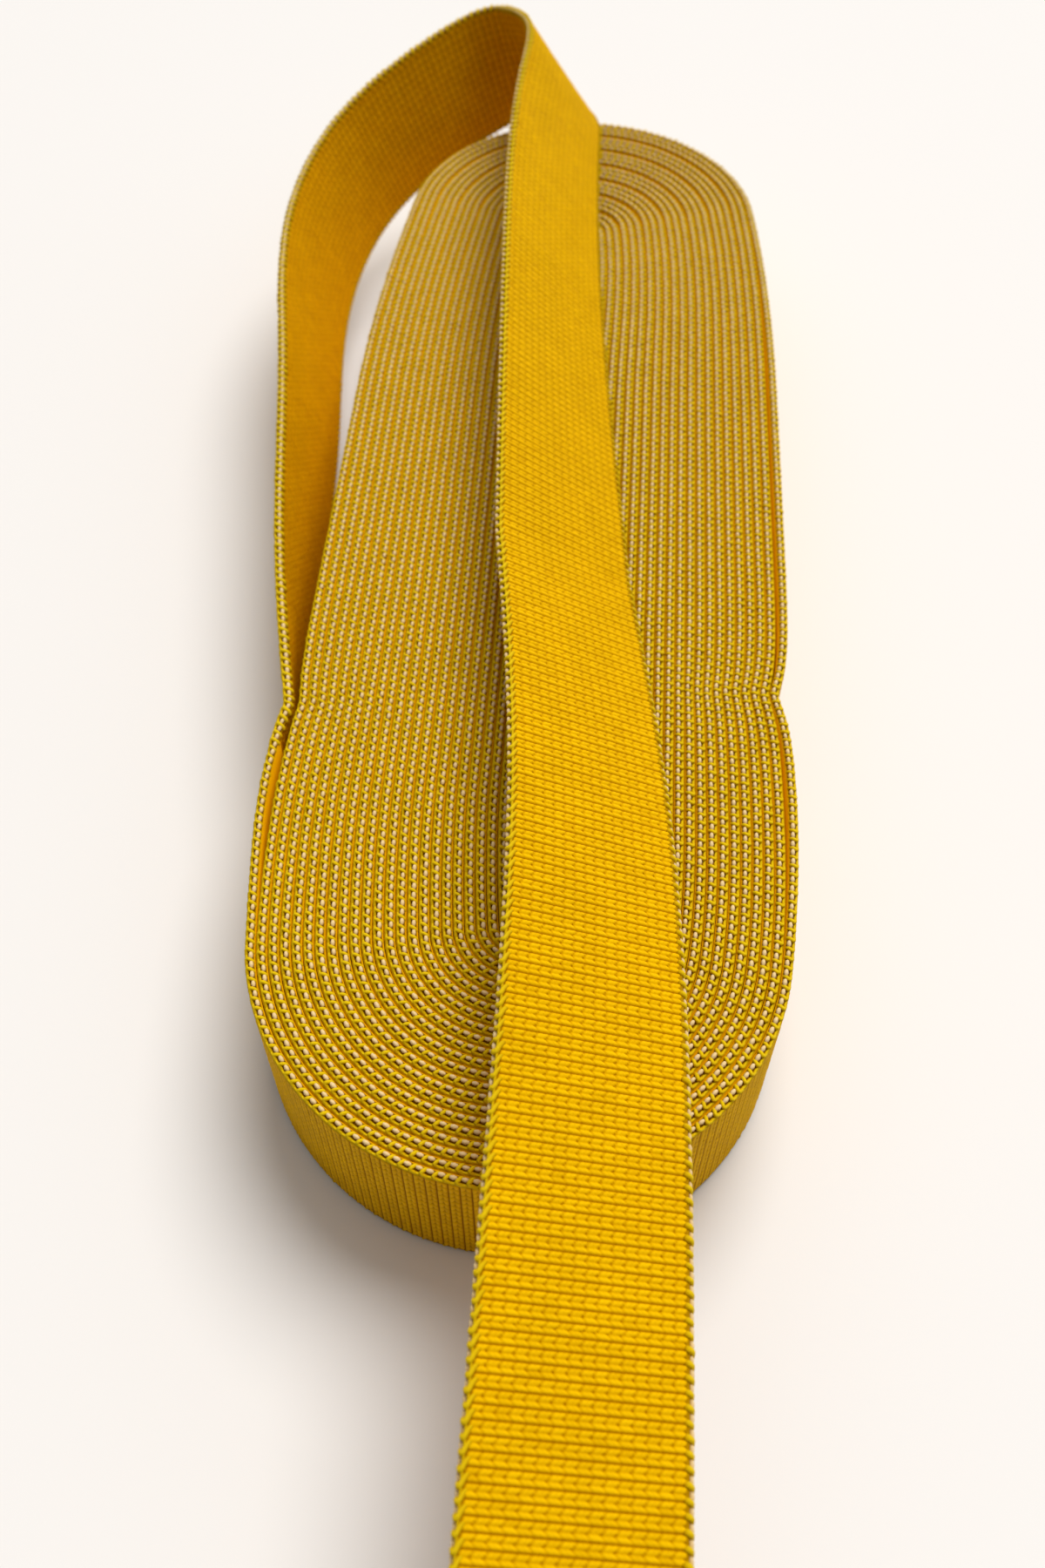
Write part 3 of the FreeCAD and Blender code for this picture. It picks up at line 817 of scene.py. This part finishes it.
def yarn_material(name, stops, rough, gloss, gloss_tint, filaments):
    """Dyed polyester yarn: painted shade, darker in the grooves and on sides turned from the light,
    uneven dye, fine filaments along the yarn.
    """
    nodes = Nodes(name)
    painted_light = nodes.node("ShaderNodeAttribute", {"attribute_name": "painted_light"})
    fibre = nodes.belting_noise(1.0, filaments, FILAMENT_DETAIL)
    blotches = nodes.belting_noise(BLOTCH_SCALE, (1.0, 1.0, 1.0), BLOTCH_DETAIL)
    lifted = nodes.node("ShaderNodeMath", {"operation": "MULTIPLY_ADD"}, i0=fibre, i1=FILAMENT_SHADE,
                        i2=painted_light.outputs["Fac"])
    level = nodes.node("ShaderNodeMath", {"operation": "SUBTRACT"}, i0=lifted.outputs[0],
                       i1=FILAMENT_SHADE / 2)
    # The ramp gives the dye colour with painted shade: darkest where the painted light is low.
    dye_and_painted_shade = nodes.ramp(level.outputs[0], stops)
    shade = nodes.node("ShaderNodeMapRange", Value=blotches)
    nodes.set(shade, "To Min", BLOTCH_DARK)
    nodes.set(shade, "To Max", BLOTCH_LIGHT)
    varied = nodes.node("ShaderNodeVectorMath", {"operation": "SCALE"}, i0=dye_and_painted_shade)
    nodes.set(varied, "Scale", shade.outputs["Result"])
    nodes.set(nodes.shader, "Base Color", varied.outputs[0])
    nodes.set(nodes.shader, "Roughness", rough)
    nodes.set(nodes.shader, "Specular IOR Level", gloss)
    nodes.set(nodes.shader, "Specular Tint", gloss_tint)
    raised = nodes.node("ShaderNodeBump", Strength=FILAMENT_BUMP, Distance=FILAMENT_DEPTH, Height=fibre)
    nodes.set(nodes.shader, "Normal", raised.outputs["Normal"])
    return nodes.material


# Colours of the yarns with painted shade, from the deepest painted shade at the bottom of a groove (0)
# to a lit crest (1).
GOLD_STOPS = (
    (0.0, colour(150, 92, 0)),
    (0.3, colour(184, 130, 0)),
    (0.62, colour(214, 160, 1)),
    (1.0, colour(236, 184, 5)),
)
AMBER_STOPS = (
    (0.0, colour(136, 72, 0)),
    (0.3, colour(184, 116, 0)),
    (0.62, colour(224, 160, 1)),
    (1.0, colour(245, 184, 4)),
)
LEMON_STOPS = (
    (0.0, colour(70, 34, 2)),
    (0.3, colour(142, 93, 1)),
    (0.6, colour(194, 151, 3)),
    (1.0, colour(226, 194, 20)),
)
CREAM_STOPS = (
    (0.0, colour(118, 80, 34)),
    (0.4, colour(196, 162, 106)),
    (1.0, colour(234, 206, 152)),
)
YELLOW_GLOSS = colour(255, 204, 24)
CREAM_GLOSS = colour(255, 244, 220)

# Filaments run along the belting on the faces and the edges, and across it in the filling. Filaments
# gives their fineness along the belting, across it and through its thickness.
FACE_YARN = {"rough": 0.7, "gloss": 0.06, "gloss_tint": YELLOW_GLOSS, "filaments": (1.6, 9.0, 2.0)}
EDGE_YARN = {"rough": 0.65, "gloss": 0.12, "gloss_tint": YELLOW_GLOSS, "filaments": (3.0, 6.0, 6.0)}
CREAM_YARN = {"rough": 0.75, "gloss": 0.1, "gloss_tint": CREAM_GLOSS, "filaments": (7.0, 3.0, 7.0)}

face_yarn = yarn_material("yellow_face_yarn", GOLD_STOPS, **FACE_YARN)
inside_yarn = yarn_material("yellow_inside_yarn", AMBER_STOPS, **FACE_YARN)
edge_yarn = yarn_material("selvedge_yarn", LEMON_STOPS, **EDGE_YARN)
cream_yarn = yarn_material("cream_filling_yarn", CREAM_STOPS, **CREAM_YARN)


# ------------------------------------------------------------------ pieces

CHAIN = ("coil", "loop_side", "loop_back", "loop_crest", "tail_back", "tail_middle", "tail_end")
FLEX_REACH = 12.0           # the belting bends over this length to each side of a hinge
HINGE_BACK = 5.0            # the strap pieces begin this far before the waist

YARNS = {
    "outer_face": face_yarn,
    "inner_face": inside_yarn,
    "core": cream_yarn,
    "upper_selvedge": edge_yarn,
    "lower_selvedge": edge_yarn,
}


def stitch_at(s):
    return int(round(s / PERIOD))


def finish_piece(mesh, name, body, ply, hinge=None):
    """Makes the object and fixes it to the frame; with a hinge its transform is applied and it is not
    fixed to a body.
    """
    piece = mesh.build(name + "_weave", YARNS[ply])
    if hinge is None:
        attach(piece, body)
    else:
        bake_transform(piece)
    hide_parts(body + "_" + ply)
    return piece


# Detail of each face: rings in a stitch and columns across, finer where the camera is near. Multiples
# of four rings keep a ring on every crest and in every groove.
STRAP_DETAIL = {
    "loop_side": {"outer_face": (8, 68), "inner_face": (8, 84)},
    "loop_back": {"outer_face": (8, 68), "inner_face": (8, 90)},
    "loop_crest": {"outer_face": (8, 90), "inner_face": (8, 90)},
    "tail_back": {"outer_face": (8, 96), "inner_face": (8, 48)},
    "tail_middle": {"outer_face": (12, 94), "inner_face": (8, 48)},
    "tail_end": {"outer_face": (12, 110), "inner_face": (8, 48)},
}
WRAP_DETAIL = (8, 48)
FRONT_DETAIL = (8, 90)

# Seeds of the irregularities. Outer faces share one and inner faces another, so that the weave runs
# on from piece to piece. The others are the first of a row of seeds, one for each piece of a kind.
SEEDS = {
    "outer_face": 11,
    "inner_face": 9,
    "edge": 20,
    "core": 30,
    "coil_edge": 40,
    "coil_core": 50,
    "coil_lower_edge": 60,
}
FACE_SIDES = ((1, "outer_face"), (-1, "inner_face"))
EDGE_SIDES = ((1, "upper_selvedge"), (-1, "lower_selvedge"))


def build_strap_piece(body, first, last, hinge, number):
    """The five woven pieces of one run of the peeled lap or the tail."""
    for side, ply in FACE_SIDES:
        mesh = face_mesh(first, last, side, STRAP_DETAIL[body][ply], seed=SEEDS[ply])
        finish_piece(mesh, body + "_" + ply, body, ply, hinge)
    for side, ply in EDGE_SIDES:
        mesh = selvedge_mesh(first, last, side, FREE_EDGE, seed=SEEDS["edge"] + number)
        finish_piece(mesh, body + "_" + ply, body, ply, hinge)
    mesh = core_mesh(first, last, (1, -1), FREE_CREAM, seed=SEEDS["core"] + number)
    finish_piece(mesh, body + "_core", body, "core", hinge)


def build_strap():
    """The peeled lap and the tail, each run spanning one hinge. Returns its first stitch."""
    joints = {joint["child"]: joint for joint in frame["record"]["behaviour"]["joints"]}
    places = [np.array(joints[body]["pos_m"]) * MILLIMETRES for body in CHAIN[1:]]
    hinges = [belting.nearest(place, WAIST_S - HINGE_BACK) for place in places]
    halfway = [(a + b) / 2 for a, b in zip(hinges, hinges[1:])]
    cuts = [stitch_at(s) for s in [WAIST_S - FLEX_REACH] + halfway + [belting.length]]
    for number, body in enumerate(CHAIN[1:]):
        at_hinge = np.array([hinges[number]])
        place = belting.at(belting.middle, at_hinge)[0]
        run = belting.at(belting.run, at_hinge)[0]
        hinge = (CHAIN[number], place, run)
        build_strap_piece(body, cuts[number], cuts[number + 1], hinge, number)
    return cuts[0]


# The outside of the coil that can be seen is a wrap round the back and a front. The front starts on
# the right at the front shoulder. The wrap starts on the left, on the lap that peeling off has bared.
# Both are looked for in the last length of the coil.
FRONT_START = (RIGHT_OUTER, FRONT_SHOULDER_Y, HALF_WIDTH)
FRONT_SEARCH = 420 * PERIOD
WRAP_START = (-LEFT_FIRST, -100.0, HALF_WIDTH)
WRAP_SEARCH = 1250
WRAP_OVERLAP = 8            # stitches of the wrap that the outermost lap still covers
COIL_EDGE_PARTS = 6
COIL_CORE_PARTS = 3


def equal_parts(end, count):
    """The stitches up to an end, in a number of equal parts, as (first, last) pairs."""
    bounds = [round(end * n / count) for n in range(count + 1)]
    return list(zip(bounds, bounds[1:]))


def build_coil_faces(wrap_start, front_start, end):
    """Ribbed where the outside of the coil can be seen, plain where laps press on each other."""
    seed = SEEDS["outer_face"]
    laps = pressed_face_mesh(0, wrap_start, 1)
    finish_piece(laps, "coil_outer_face_laps", "coil", "outer_face")
    wrap = face_mesh(wrap_start, front_start, 1, WRAP_DETAIL, seed)
    finish_piece(wrap, "coil_outer_face_wrap", "coil", "outer_face")
    front = face_mesh(front_start, end, 1, FRONT_DETAIL, seed)
    finish_piece(front, "coil_outer_face_front", "coil", "outer_face")
    finish_piece(pressed_face_mesh(0, end, -1), "coil_inner_face", "coil", "inner_face")


def build_coil(end):
    """Every lap of the coil, up to the stitch where the strap pieces take over."""
    front_start = stitch_at(belting.nearest(FRONT_START, end * PERIOD - FRONT_SEARCH))
    wrap_start = stitch_at(belting.nearest(WRAP_START, WAIST_S - WRAP_SEARCH)) - WRAP_OVERLAP
    build_coil_faces(wrap_start, front_start, end)
    for n, (first, last) in enumerate(equal_parts(end, COIL_EDGE_PARTS)):
        mesh = selvedge_mesh(first, last, 1, COIL_EDGE, seed=SEEDS["coil_edge"] + n)
        finish_piece(mesh, "coil_upper_selvedge_%d" % n, "coil", "upper_selvedge")
    for n, (first, last) in enumerate(equal_parts(end, COIL_CORE_PARTS)):
        mesh = core_mesh(first, last, (1,), COIL_CREAM, seed=SEEDS["coil_core"] + n)
        finish_piece(mesh, "coil_core_%d" % n, "coil", "core")
    mesh = selvedge_mesh(wrap_start, end, -1, COIL_EDGE, seed=SEEDS["coil_lower_edge"])
    finish_piece(mesh, "coil_lower_selvedge_wrap", "coil", "lower_selvedge")
    mesh = plain_edge_mesh(0, wrap_start)
    finish_piece(mesh, "coil_lower_selvedge_laps", "coil", "lower_selvedge")


build_coil(build_strap())


# ------------------------------------------------------------------ stage, light and camera

FLOOR_REACH = 3.0           # metres to each side
FLOOR_DROP = 0.0002         # metres below the belt's lowest edge
FLOOR_STOPS = ((0.35, colour(230, 227, 224)), (0.65, colour(234, 231, 228)))
FLOOR_GRAIN = {"Scale": 3.0, "Detail": 2.0}
FLOOR_ROUGHNESS = 0.75

# KEY_FROM and SKY_FROM point from the object towards the lamp and the brightest part of the sky.
KEY_FROM = (0.25, 0.53, 1.0)
KEY_STRENGTH = 2.86
KEY_SPREAD = math.radians(38.0)
KEY_COLOUR = (1.0, 0.99, 0.975)
SKY_FROM = (0.25, 0.45, 0.86)
SKY_COLOUR = (1.0, 0.985, 0.965, 1.0)
SKY_DARK, SKY_BRIGHT = 0.05, 0.56
SKY_DARK_AT, SKY_BRIGHT_AT = -0.3, 0.9
BACKDROP = 0.9              # brightness of the surroundings where the camera sees them

# Places in metres, lens and sensor in millimetres.
CAMERA_PLACE = (0.0110, -0.2945, 0.3156)
CAMERA_AIM = (-0.0405, 0.5864, -0.8090)
FOCUS_PLACE = (0.0, -0.150, 0.045)
NEAREST_SEEN = 0.01
FOCAL_LENGTH = 33.54
SENSOR_WIDTH = 36.0
F_STOP = 14.0


def floor():
    """A plain pale table."""
    mesh = bpy.data.meshes.new("floor")
    corners = [(x * FLOOR_REACH, y * FLOOR_REACH, 0) for x, y in ((-1, -1), (1, -1), (1, 1), (-1, 1))]
    mesh.from_pydata(corners, [], [(0, 1, 2, 3)])
    ground = bpy.data.objects.new("floor", mesh)
    bpy.context.scene.collection.objects.link(ground)
    paper = Nodes("paper")
    grain = paper.node("ShaderNodeTexNoise", **FLOOR_GRAIN)
    paper.set(paper.shader, "Base Color", paper.ramp(grain.outputs["Fac"], FLOOR_STOPS))
    paper.set(paper.shader, "Roughness", FLOOR_ROUGHNESS)
    mesh.materials.append(paper.material)
    ground.location.z = -FLOOR_DROP


def key_light():
    """A broad soft lamp far away, behind the belt and to its right."""
    data = bpy.data.lights.new("key", "SUN")
    data.energy = KEY_STRENGTH
    data.angle = KEY_SPREAD
    data.color = KEY_COLOUR
    light = bpy.data.objects.new("key", data)
    light.rotation_euler = Vector(KEY_FROM).to_track_quat("Z", "Y").to_euler()
    bpy.context.scene.collection.objects.link(light)


def sky():
    """White surroundings, brighter overhead and behind than low down in front."""
    world = bpy.data.worlds.new("studio")
    world.use_nodes = True
    tree = world.node_tree
    background = tree.nodes["Background"]
    background.inputs["Color"].default_value = SKY_COLOUR
    place = tree.nodes.new("ShaderNodeTexCoord")
    towards = tree.nodes.new("ShaderNodeVectorMath")
    towards.operation = "DOT_PRODUCT"
    towards.inputs[1].default_value = Vector(SKY_FROM)
    tree.links.new(place.outputs["Generated"], towards.inputs[0])
    fade = tree.nodes.new("ShaderNodeMapRange")
    fade.interpolation_type = "SMOOTHSTEP"
    fade.inputs["From Min"].default_value = SKY_DARK_AT
    fade.inputs["From Max"].default_value = SKY_BRIGHT_AT
    fade.inputs["To Min"].default_value = SKY_DARK
    fade.inputs["To Max"].default_value = SKY_BRIGHT
    tree.links.new(towards.outputs["Value"], fade.inputs["Value"])
    seen = tree.nodes.new("ShaderNodeLightPath")
    backdrop = tree.nodes.new("ShaderNodeMix")
    backdrop.inputs["B"].default_value = BACKDROP
    tree.links.new(seen.outputs["Is Camera Ray"], backdrop.inputs["Factor"])
    tree.links.new(fade.outputs["Result"], backdrop.inputs["A"])
    tree.links.new(backdrop.outputs["Result"], background.inputs["Strength"])
    bpy.context.scene.world = world


def camera():
    """The camera above the front end of the belt, with its focus on the tail."""
    data = bpy.data.cameras.new("camera")
    data.lens = FOCAL_LENGTH
    data.sensor_width = SENSOR_WIDTH
    data.clip_start = NEAREST_SEEN
    focus = bpy.data.objects.new("focus", None)
    focus.location = FOCUS_PLACE
    bpy.context.scene.collection.objects.link(focus)
    data.dof.use_dof = True
    data.dof.focus_object = focus
    data.dof.aperture_fstop = F_STOP
    cam = bpy.data.objects.new("camera", data)
    cam.location = CAMERA_PLACE
    cam.rotation_euler = Vector(CAMERA_AIM).to_track_quat("-Z", "Y").to_euler()
    bpy.context.scene.collection.objects.link(cam)
    bpy.context.scene.camera = cam


floor()
sky()
key_light()
camera()
bpy.context.scene.view_settings.view_transform = "Standard"
